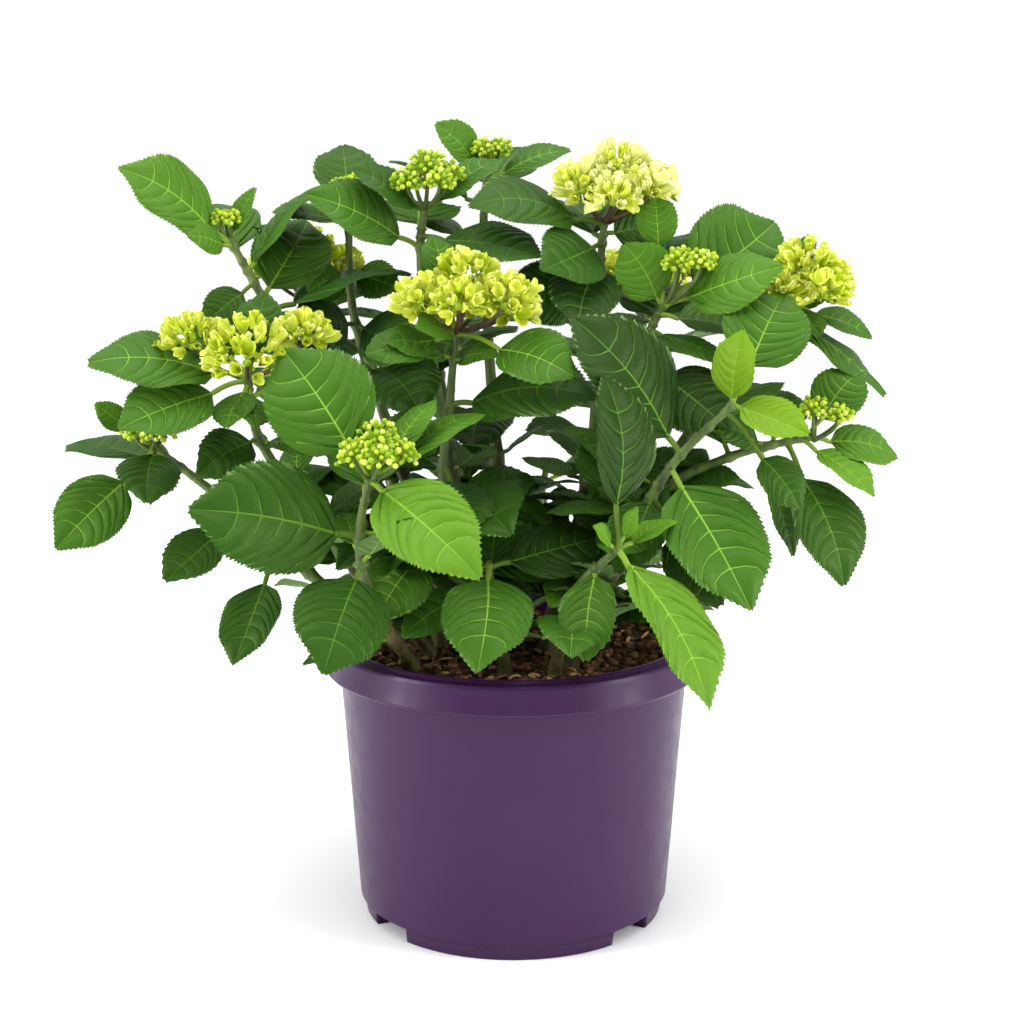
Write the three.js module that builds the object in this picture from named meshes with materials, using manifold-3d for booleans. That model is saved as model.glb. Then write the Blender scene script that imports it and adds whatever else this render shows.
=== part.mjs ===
// A hydrangea shrub in its plastic nursery pot, in millimetres, +Z up.
// The origin is the middle of the pot's flat underside, and -Y is the front.
import * as THREE from 'three';
import { mergeVertices } from 'three/addons/utils/BufferGeometryUtils.js';
import Module from 'manifold-3d';

const wasm = await Module();
wasm.setup();

// ---- driving dimensions -------------------------------------------------------------------
const GAP = 0.35; // clearance kept between neighbouring solids
const POT_HEIGHT = 178;
const RIM_RADIUS = 115; // top ridge of the rim
const RIM_BAND = 18.5; // height of the rim's outer band
const BAND_RADIUS = 118.7; // the band's lower edge
const BODY_TOP_RADIUS = 109;
const BODY_FOOT_RADIUS = 98.2;
const FOOT_RADIUS = 95.2;
const FOOT_HEIGHT = 9.6;
const WALL = 2;
const FLOOR = 3;
const SILL_RADIUS = 84; // inside of the ring that carries the lugs
const NOTCH_WIDTH = 33; // gap between two lugs
const NOTCH_ANGLES = [-54, 50, 126, 230]; // degrees round from the front
const SOIL_TOP = 168;
const POT_SIDES = 32;

const STEM_FOOT = 4.6; // radius of a cane at the soil
const STEM_TIP = 2.4;
const STEM_SIDES = 5;
const STEM_STEPS = 4;
const BLADE_WIDTH = 0.68; // of the blade's length
const HEAD_LOBES = 5;
const HEAD_WAVE = 0.06;
const BLADE_DEPTH = 0.05; // half thickness along the midrib, of the length
const STALK = 14; // from a leaf's node to the foot of its blade
const SMALLEST_REACH = 42; // shorter leaves are too small to be solids
const CORE_RADIUS = 8;
const CORE_SIDES = 4;
const CORE_STEPS = 3;

// Each shoot: the route of its cane from the soil up, its flower head and its leaves.
// head: kind, offset of its middle from the cane's top, spread, cluster radius, clusters.
// leaves: height on the cane, heading, rise, reach to the tip, turn about the midrib, stalk,
// and how broad it is when it is not of ordinary breadth.
// behind: count and first heading of the pairs that fill the side away from the front.
const SHOOTS = [
  {
    name: 'left_high',
    stem: [[-45, 10], [-105, 5, 310], [-150, 0, 385], [-172, 0, 425]],
    head: ['buds', -2, 0, 12, 4, 6, 3],
    leaves: [
      [420, -158, 35, 84, -50, 16], [419, -133, 15, 38, -65, 9], [424, 18, 62, 36, 20, 6],
      [405, 30, 43, 76, -10, 6], [389, 68, 36, 74, 30, 8], [398, -140, -32, 44, -60, 10],
    ],
    behind: [2, 115],
  },
  {
    name: 'left_bloom',
    stem: [[-50, -15], [-115, -45, 255], [-150, -60, 315], [-155, -62, 350]],
    head: ['open', 2, -4, 18, 32, 19, 3],
    leaves: [
      [349, -165, 7, 92, -25, 18], [347, -144, -14, 86, -35, 24], [348, 76, 56, 58, 15, 16],
      [350, 160, 42, 48, -50, 12], [345, -104, -30, 42, 5, 8], [342, -77, -26, 40, -15, 8],
      [313, -139, -22, 48, -55, 6], [311, -35, -7, 46, 15, 6],
    ],
    behind: [1, 60],
  },
  {
    name: 'left_low',
    stem: [[-60, -30], [-120, -45, 225], [-180, -45, 278], [-215, -50, 307]],
    head: ['buds', 0, -2, 8, 9, 7, 4],
    leaves: [
      [304, -139, -36, 86, -55, 28], [305, -85, -22, 62, -5, 8], [306, -165, 40, 43, -60, 18],
      [264, -131, -27, 68, -35, 20], [244, -107, -39, 88, 0, 28, 0.85],
    ],
    behind: [2, 150],
  },
  {
    name: 'front_left',
    stem: [[-60, -50], [-85, -100, 235], [-87, -108, 270], [-80, -112, 300]],
    head: ['buds', 4, -4, 14, 14, 10, 6],
    leaves: [
      [298, 151, 50, 92, -50, 19, 1.15], [263, -163, 13, 100, -65, 12, 1.1],
      [297, -40, -28, 94, 40, 10, 0.9], [297, 27, 24, 80, 0, 22], [298, 37, 42, 62, 5, 22],
      [247, -110, -44, 74, -25, 10, 1.2],
    ],
    behind: [1, 95],
  },
  {
    name: 'centre',
    stem: [[-20, -20], [-42, -35, 270], [-38, -38, 330], [-34, -40, 375]],
    head: ['open', 7, -2, 17, 28, 18, 7],
    leaves: [
      [372, -33, -14, 86, 40, 32], [357, -151, 15, 48, -30, 6], [356, -40, 8, 36, 35, 6],
      [370, -157, -8, 58, -30, 12], [372, -122, 9, 42, -40, 8], [372, 116, 59, 66, 0, 26],
      [329, -23, 5, 96, 30, 14], [276, -60, -8, 84, 20, 14], [262, -150, -20, 78, -15, 14],
      [292, -75, -20, 74, -5, 20], [315, -145, -7, 52, -60, 6], [258, -117, -27, 95, -35, 40],
      [275, -104, -30, 62, -15, 14],
    ],
    behind: [1, 80],
  },
  {
    name: 'top_left',
    stem: [[-35, 30], [-85, 40, 320], [-101, 40, 378], [-103, 40, 440]],
    head: ['buds', 4, 0, 14, 12, 7, 3],
    leaves: [
      [440, 99, 43, 58, 0, 8, 1.2], [400, -126, -11, 42, -65, 6], [400, -38, -10, 44, 65, 6],
      [432, -160, 8, 50, -20, 8], [368, -49, -12, 62, 55, 8], [368, -131, 9, 58, -60, 8],
      [345, -62, -18, 88, 20, 14], [340, -152, -8, 78, -60, 12],
    ],
    behind: [2, 75],
  },
  {
    name: 'top_mid',
    stem: [[-15, 5], [-47, 10, 328], [-57, 16, 420], [-54, 15, 444]],
    head: ['buds', 2, -2, 17, 15, 10, 5],
    leaves: [
      [418, -158, 25, 80, -50, 15], [440, -160, 30, 54, -40, 6], [440, 23, 30, 62, 15, 12],
      [425, -26, -7, 84, 25, 16],
    ],
    behind: [2, 100],
  },
  {
    name: 'top_back',
    stem: [[0, 40], [-15, 60, 340], [-19, 65, 429], [-17, 70, 462]],
    head: ['buds', 2, 0, 14, 6, 8, 3],
    leaves: [
      [460, -162, 44, 48, -55, 8], [457, 1, 19, 58, 25, 12], [440, 165, 24, 70, 0, 12],
      [318, -98, -15, 84, 0, 14],
    ],
    behind: [2, 70],
  },
  {
    name: 'right_high',
    stem: [[20, 0], [48, 5, 290], [53, 20, 400], [56, 20, 436]],
    head: ['open', 8, -3, 19, 23, 17, 7],
    leaves: [
      [432, -159, 8, 90, -30, 20], [420, -123, -9, 72, -45, 12], [411, -103, -28, 80, -10, 14],
      [394, -144, -4, 74, -65, 14], [426, 39, 4, 54, 70, 8], [284, -49, -17, 74, 40, 14],
    ],
    behind: [2, 110],
  },
  {
    name: 'right_mid',
    stem: [[25, 10], [55, 0, 290], [82, -8, 368], [92, -8, 388]],
    head: ['buds', 14, -4, 26, 10, 9, 4],
    leaves: [
      [385, 106, 76, 70, -15, 36], [385, 37, 27, 104, 55, 26, 1.1],
      [384, 175, 58, 46, -75, 6, 1.35], [384, -15, 20, 78, 45, 16],
      [370, -31, -17, 58, 10, 8, 0.85], [354, -49, -25, 84, 50, 24], [380, -26, -10, 56, -45, 12],
    ],
    behind: [1, 85],
  },
  {
    name: 'right_far',
    stem: [[35, 5], [100, 10, 290], [156, 12, 364], [171, 14, 388]],
    head: ['open', 6, -14, 10, 18, 16, 5],
    leaves: [
      [380, -17, -38, 82, 5, 14], [384, 0, -22, 58, 25, 18], [385, -61, -28, 38, 5, 6],
      [385, 65, 47, 54, -20, 12],
    ],
    behind: [2, 60],
  },
  {
    name: 'right_low',
    stem: [[40, -20], [85, -30, 270], [130, -30, 296], [180, -35, 310]],
    head: ['buds', 8, 0, 16, 11, 8, 4],
    leaves: [
      [306, -50, -59, 94, 15, 24], [302, -54, -63, 70, -15, 26], [304, 75, 25, 60, 10, 14],
      [309, 26, 45, 54, 45, 14, 1.2], [308, -32, -33, 58, 10, 12], [309, 10, -14, 60, 35, 14],
      [303, -158, 24, 44, -50, 6],
    ],
    behind: [2, 95],
  },
  {
    name: 'right_front',
    stem: [[35, -35], [75, -60, 265], [93, -65, 298], [128, -70, 335]],
    leaves: [
      [304, 179, 51, 104, -40, 12], [334, -26, -17, 50, 40, 4, 0.85],
      [333, 30, 80, 46, 10, 4, 1.25], [296, -49, -48, 100, 20, 13], [330, -22, -50, 72, 55, 34],
      [246, 111, 60, 78, -10, 34, 1.3], [278, -36, -51, 78, 45, 24],
      [285, -130, -50, 62, -30, 12], [333, 54, 45, 87, 30, 29, 1.2],
    ],
    behind: [1, 60],
  },
  {
    name: 'young',
    stem: [[25, -50], [35, -80, 222], [45, -95, 240], [60, -110, 258]],
    leaves: [
      [258, 119, 78, 100, 20, 24, 0.95], [257, -49, -47, 108, -5, 11, 0.75],
      [256, 16, 22, 40, 10, 10], [257, -10, 66, 28, 50, 8], [256, -145, 44, 24, -60, 6],
      [243, -101, -55, 58, 0, 4, 0.85],
    ],
    behind: [1, 50],
  },
  {
    name: 'low_front',
    stem: [[-5, -45], [-12, -62, 215], [-14, -72, 230], [-14, -76, 242]],
    leaves: [
      [240, -95, -33, 84, 0, 12], [238, 165, 5, 70, -20, 12], [226, -150, -22, 64, -20, 10],
      [238, 20, 10, 74, 30, 12],
    ],
    behind: [1, 90],
  },
  {
    name: 'back_left',
    stem: [[-40, 42], [-90, 85, 280], [-128, 110, 345], [-138, 118, 378]],
    head: ['open', 0, 2, 22, 24, 16, 6],
    leaves: [],
    behind: [3, 40],
  },
  {
    name: 'back_centre',
    stem: [[-12, 62], [-40, 110, 270], [-52, 140, 340], [-54, 146, 368]],
    head: ['buds', 0, 2, 16, 12, 8, 5],
    leaves: [],
    behind: [3, 10],
  },
  {
    name: 'back_right',
    stem: [[22, 52], [60, 100, 270], [84, 130, 340], [90, 138, 372]],
    head: ['open', 2, 2, 22, 24, 16, 6],
    leaves: [],
    behind: [3, 60],
  },
  {
    name: 'back_low',
    stem: [[5, 80], [12, 120, 215], [20, 150, 240], [24, 166, 258]],
    leaves: [],
    behind: [2, 20],
  },
];

// ---- solids and cuts ----------------------------------------------------------------------
function toSolid(geometry) {
  const bare = geometry.clone();
  bare.deleteAttribute('normal');
  bare.deleteAttribute('uv');
  const merged = mergeVertices(bare, 1e-4);
  const mesh = new wasm.Mesh({
    numProp: 3,
    vertProperties: new Float32Array(merged.attributes.position.array),
    triVerts: new Uint32Array(merged.index.array),
  });
  return new wasm.Manifold(mesh);
}

function toGeometry(solid) {
  const mesh = solid.getMesh();
  const geometry = new THREE.BufferGeometry();
  geometry.setAttribute('position', new THREE.BufferAttribute(mesh.vertProperties, 3));
  geometry.setIndex(new THREE.BufferAttribute(mesh.triVerts, 1));
  geometry.computeVertexNormals();
  return geometry;
}

function join(solids) {
  return solids.reduce((whole, next) => whole.add(next));
}

function largest(solid) {
  const pieces = solid.decompose();
  return pieces.reduce((best, piece) => (piece.volume() > best.volume() ? piece : best));
}

// A closed skin over rings of equal point counts, from one end point or ring to the other.
function skin(rings) {
  const sides = rings[0].length;
  const points = rings.flat();
  const faces = [];
  for (let ring = 0; ring + 1 < rings.length; ring += 1) {
    for (let side = 0; side < sides; side += 1) {
      const a = ring * sides + side;
      const b = ring * sides + ((side + 1) % sides);
      faces.push(a, b, b + sides, a, b + sides, a + sides);
    }
  }
  const last = (rings.length - 1) * sides;
  for (let side = 1; side + 1 < sides; side += 1) {
    faces.push(0, side + 1, side, last, last + side, last + side + 1);
  }
  const geometry = new THREE.BufferGeometry();
  const flat = points.flatMap((point) => [point.x, point.y, point.z]);
  geometry.setAttribute('position', new THREE.Float32BufferAttribute(flat, 3));
  geometry.setIndex(faces);
  return toSolid(geometry);
}

function ringAt(centre, axis, radius, sides) {
  const first = new THREE.Vector3(0, 1, 0).cross(axis);
  if (first.length() < 0.2) {
    first.set(1, 0, 0).cross(axis);
  }
  first.normalize();
  const second = axis.clone().cross(first).normalize();
  const points = [];
  for (let side = 0; side < sides; side += 1) {
    const angle = (2 * Math.PI * side) / sides;
    const point = centre.clone();
    point.addScaledVector(first, radius * Math.cos(angle));
    point.addScaledVector(second, radius * Math.sin(angle));
    points.push(point);
  }
  return points;
}

// A straight bar with a round section that tapers from one end to the other.
function bar(start, end, startRadius, endRadius, sides = 5) {
  const axis = end.clone().sub(start).normalize();
  return skin([ringAt(start, axis, startRadius, sides), ringAt(end, axis, endRadius, sides)]);
}

// ---- canes --------------------------------------------------------------------------------
function caneCurve(shoot) {
  const points = shoot.stem.map(([x, y, z = SOIL_TOP]) => new THREE.Vector3(x, y, z));
  return new THREE.CatmullRomCurve3(points, false, 'centripetal');
}

function caneAt(curve, height) {
  let low = 0;
  let high = 1;
  for (let step = 0; step < 24; step += 1) {
    const middle = (low + high) / 2;
    if (curve.getPoint(middle).z < height) {
      low = middle;
    } else {
      high = middle;
    }
  }
  return low;
}

function caneRadius(share) {
  return STEM_FOOT + (STEM_TIP - STEM_FOOT) * share;
}

// A stretch of a cane between two shares of its curve.
function limb(curve, from, to, radiusAt, grow = 0, sides = STEM_SIDES, steps = STEM_STEPS) {
  const rings = [];
  for (let step = 0; step <= steps; step += 1) {
    const share = from + ((to - from) * step) / steps;
    const level = step === 0 && from === 0;
    const axis = level ? new THREE.Vector3(0, 0, 1) : curve.getTangent(share);
    rings.push(ringAt(curve.getPoint(share), axis, radiusAt(share, step) + grow, sides));
  }
  return skin(rings);
}

// ---- leaves -------------------------------------------------------------------------------
function direction(heading, rise) {
  const across = THREE.MathUtils.degToRad(heading);
  const up = THREE.MathUtils.degToRad(rise);
  return new THREE.Vector3(
    Math.cos(across) * Math.cos(up),
    Math.sin(across) * Math.cos(up),
    Math.sin(up),
  );
}

// Pairs of opposite leaves down the upper cane, each pair a quarter turn from the last.
function pairRows(shoot) {
  const [count, first] = shoot.behind;
  const top = shoot.stem[3][2];
  const wholeRing = shoot.leaves.length === 0;
  const rows = [];
  for (let pair = 0; pair < count; pair += 1) {
    for (let side = 0; side < 2; side += 1) {
      const heading = first + 90 * pair + 180 * side;
      const away = Math.sin(THREE.MathUtils.degToRad(heading));
      if (wholeRing || away > 0.2) {
        const wave = Math.sin(2.4 * pair + 1.9 * side + first);
        rows.push([top - 14 - 30 * pair, heading, 12 + 12 * wave, 84 + 10 * pair - 8 * wave, 0]);
      }
    }
  }
  return rows;
}

// A leaf with its stalk: a pointed oval that narrows to its node, thick along the midrib.
function leaf(curve, row, grow) {
  const [height, heading, rise, reach, turn, stalk = STALK, broad = 1] = row;
  const node = curve.getPoint(caneAt(curve, height));
  const along = direction(heading, rise);
  const base = node.clone().addScaledVector(along, stalk);
  const length = reach - stalk;
  const level = new THREE.Vector3(0, 0, 1).addScaledVector(along, -along.z).normalize();
  const face = level.applyAxisAngle(along, THREE.MathUtils.degToRad(turn));
  const across = along.clone().cross(face).normalize();
  const half = (BLADE_WIDTH * broad * length) / 2 + grow;
  const at = (share, side, lift) => {
    const point = base.clone().addScaledVector(along, share * length);
    point.addScaledVector(across, side * half);
    return point.addScaledVector(face, lift);
  };
  const depth = BLADE_DEPTH * length + grow;
  const foot = node.clone().addScaledVector(along, -2 - grow);
  const tip = at(1 + grow / length, 0, -0.05 * length);
  const edge = [foot, at(0.2, -0.9, 0), at(0.62, -0.85, 0), tip, at(0.62, 0.85, 0), at(0.2, 0.9, 0)];
  const crest = at(0.35, 0, 0.05 * length + depth);
  const belly = at(0.35, 0, 0.05 * length - depth);
  const faces = [];
  for (let corner = 0; corner < 6; corner += 1) {
    const next = (corner + 1) % 6;
    faces.push(next, corner, 6, corner, next, 7);
  }
  const flat = [...edge, crest, belly].flatMap((point) => [point.x, point.y, point.z]);
  const geometry = new THREE.BufferGeometry();
  geometry.setAttribute('position', new THREE.Float32BufferAttribute(flat, 3));
  geometry.setIndex(faces);
  return toSolid(geometry);
}

function leafRows(shoot) {
  return [...shoot.leaves, ...pairRows(shoot)].filter((row) => row[3] >= SMALLEST_REACH);
}

// The share of the cane that the mass of leaves covers.
function massSpan(shoot, curve) {
  const heights = leafRows(shoot).map((row) => row[0]);
  const low = caneAt(curve, Math.max(Math.min(...heights) - 14, SOIL_TOP + 26));
  const high = Math.min(caneAt(curve, Math.max(...heights) + 6), 0.985);
  return [low, high];
}

function leafMass(shoot, curve, grow) {
  const [low, high] = massSpan(shoot, curve);
  const bulge = (share, step) => CORE_RADIUS * (0.5 + 0.5 * Math.sin((Math.PI * step) / CORE_STEPS));
  const core = limb(curve, low, high, bulge, grow, CORE_SIDES, CORE_STEPS);
  return join([core, ...leafRows(shoot).map((row) => leaf(curve, row, grow))]);
}

// ---- flower heads -------------------------------------------------------------------------
// A flattened ball with a wavy rim.
function dome(centre, radius, height, detail, grow) {
  const ball = new THREE.IcosahedronGeometry(1, detail);
  const places = ball.attributes.position;
  for (let index = 0; index < places.count; index += 1) {
    const angle = Math.atan2(places.getY(index), places.getX(index));
    const wide = radius * (1 + HEAD_WAVE * Math.sin(HEAD_LOBES * angle)) + grow;
    places.setX(index, centre.x + wide * places.getX(index));
    places.setY(index, centre.y + wide * places.getY(index));
    places.setZ(index, centre.z + (height + grow) * places.getZ(index));
  }
  return toSolid(ball);
}

function flowerHead(shoot, curve, grow) {
  const [kind, dx, dy, dz, spread, radius, count] = shoot.head;
  const [, high] = massSpan(shoot, curve);
  const top = curve.getPoint(1);
  const middle = top.clone().add(new THREE.Vector3(dx, dy, dz));
  const root = top.clone().addScaledVector(curve.getTangent(1), -2);
  const thick = 0.8 * STEM_TIP + grow;
  const stalk = limb(curve, high + 0.012, 1, () => STEM_TIP, grow, 3, 1);
  if (count > 3 || kind === 'buds') {
    const wide = spread + radius;
    const flat = kind === 'buds' ? 0.62 : 0.56;
    const head = dome(middle, wide, flat * wide, kind === 'buds' ? 0 : 1, grow);
    return join([stalk, bar(root, middle, thick, thick, 4), head]);
  }
  const solids = [stalk];
  for (let index = 0; index < count; index += 1) {
    const centre = middle.clone();
    centre.x += spread * (index - (count - 1) / 2) * 2 / (count - 1);
    solids.push(bar(root, centre, thick, thick, 4), dome(centre, 1.1 * radius, radius, 1, grow));
  }
  return join(solids);
}

// ---- pot and soil -------------------------------------------------------------------------
function lathe(profile) {
  const geometry = new THREE.LatheGeometry(profile.map(([r, z]) => new THREE.Vector2(r, z)), POT_SIDES);
  geometry.rotateX(Math.PI / 2);
  return toSolid(geometry);
}

function pot() {
  const ledge = POT_HEIGHT - RIM_BAND;
  const shell = lathe([
    [0, 0],
    [FOOT_RADIUS, 0],
    [FOOT_RADIUS + 0.6, FOOT_HEIGHT],
    [BODY_FOOT_RADIUS, FOOT_HEIGHT + 1],
    [BODY_TOP_RADIUS, ledge],
    [BAND_RADIUS - 1.5, ledge],
    [BAND_RADIUS, ledge + 2],
    [RIM_RADIUS + 0.8, POT_HEIGHT - 3],
    [RIM_RADIUS, POT_HEIGHT - 1.5],
    [RIM_RADIUS - 8, POT_HEIGHT],
    [RIM_RADIUS - 9, POT_HEIGHT - 4],
    [BODY_TOP_RADIUS - WALL, ledge],
    [BODY_FOOT_RADIUS - WALL, FOOT_HEIGHT + 5],
    [SILL_RADIUS, FOOT_HEIGHT + 3],
    [SILL_RADIUS, FLOOR],
    [0, FLOOR],
  ]);
  const notches = NOTCH_ANGLES.map((angle) => {
    const box = new THREE.BoxGeometry(NOTCH_WIDTH, 20, 2 * FOOT_HEIGHT);
    box.translate(0, -(SILL_RADIUS + WALL + 12), 0);
    box.rotateZ(THREE.MathUtils.degToRad(angle));
    return toSolid(box);
  });
  return shell.subtract(join(notches));
}

function soil() {
  const ledge = POT_HEIGHT - RIM_BAND;
  const inset = WALL + GAP;
  return lathe([
    [0, FLOOR + GAP],
    [SILL_RADIUS - GAP, FLOOR + GAP],
    [SILL_RADIUS - GAP, FOOT_HEIGHT + 3 + GAP],
    [BODY_FOOT_RADIUS - inset, FOOT_HEIGHT + 5 + GAP],
    [BODY_TOP_RADIUS - inset, ledge],
    [BODY_TOP_RADIUS - inset - 0.5, SOIL_TOP - 3],
    [BODY_TOP_RADIUS - 14, SOIL_TOP - GAP],
    [0, SOIL_TOP - GAP],
  ]);
}

// ---- the plant in its pot -----------------------------------------------------------------
const group = new THREE.Group();
const placed = [];

function finish(colour, roughness) {
  return new THREE.MeshStandardMaterial({ color: colour, roughness, metalness: 0 });
}

// Adds a node cut clear of the nodes before it; grown is the same solid a gap larger.
function place(name, solid, grown, material) {
  const near = placed.filter((other) => touches(other, grown));
  const cut = near.length > 0 ? solid.subtract(join(near)) : solid;
  const mesh = new THREE.Mesh(toGeometry(largest(cut)), material);
  mesh.name = name;
  group.add(mesh);
  placed.push(grown);
}

function touches(one, other) {
  const a = one.boundingBox();
  const b = other.boundingBox();
  return [0, 1, 2].every((axis) => a.min[axis] < b.max[axis] && b.min[axis] < a.max[axis]);
}

function addPart(name, solid, material) {
  const mesh = new THREE.Mesh(toGeometry(solid), material);
  mesh.name = name;
  group.add(mesh);
}

const STEM_GREEN = 0x5f7832;
const LEAF_GREEN = 0x46702a;
const BLOOM_LIME = 0xd7e171;
const BUD_GREEN = 0xa9bd3f;

addPart('pot', pot(), finish(0x63496d, 0.5));
addPart('soil', soil(), finish(0x3c2a1c, 0.95));
for (const shoot of SHOOTS) {
  const curve = caneCurve(shoot);
  const [low] = massSpan(shoot, curve);
  const end = Math.max(low - 0.004, 0.02);
  const stem = limb(curve, 0, end, caneRadius);
  place(`stem_${shoot.name}`, stem, limb(curve, 0, end, caneRadius, GAP), finish(STEM_GREEN, 0.7));
}
for (const shoot of SHOOTS.filter((each) => each.head)) {
  const curve = caneCurve(shoot);
  const open = shoot.head[0] === 'open';
  const name = `${open ? 'bloom' : 'buds'}_${shoot.name}`;
  const material = finish(open ? BLOOM_LIME : BUD_GREEN, 0.8);
  place(name, flowerHead(shoot, curve, 0), flowerHead(shoot, curve, GAP), material);
}
for (const shoot of SHOOTS) {
  const curve = caneCurve(shoot);
  const mass = leafMass(shoot, curve, 0);
  place(`leaves_${shoot.name}`, mass, leafMass(shoot, curve, 2 * GAP), finish(LEAF_GREEN, 0.6));
}

export default group;
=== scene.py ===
import math
import random

import bmesh
import bpy
import numpy as np
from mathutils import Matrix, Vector, noise


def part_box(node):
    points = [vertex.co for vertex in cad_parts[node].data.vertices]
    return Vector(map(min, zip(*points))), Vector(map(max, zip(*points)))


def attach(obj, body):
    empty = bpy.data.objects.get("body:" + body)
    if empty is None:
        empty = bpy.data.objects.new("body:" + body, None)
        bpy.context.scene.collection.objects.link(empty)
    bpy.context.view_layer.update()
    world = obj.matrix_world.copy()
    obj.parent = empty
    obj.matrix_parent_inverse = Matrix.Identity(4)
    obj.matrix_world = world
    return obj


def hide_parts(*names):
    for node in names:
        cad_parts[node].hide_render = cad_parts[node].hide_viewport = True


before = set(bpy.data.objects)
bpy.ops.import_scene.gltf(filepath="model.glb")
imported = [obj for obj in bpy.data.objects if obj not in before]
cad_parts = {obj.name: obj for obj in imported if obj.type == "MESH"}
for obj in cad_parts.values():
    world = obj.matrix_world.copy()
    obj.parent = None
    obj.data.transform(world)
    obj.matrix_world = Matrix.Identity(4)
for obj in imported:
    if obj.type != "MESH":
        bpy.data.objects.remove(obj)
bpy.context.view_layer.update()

SEED = 11
MM = 0.001

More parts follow.
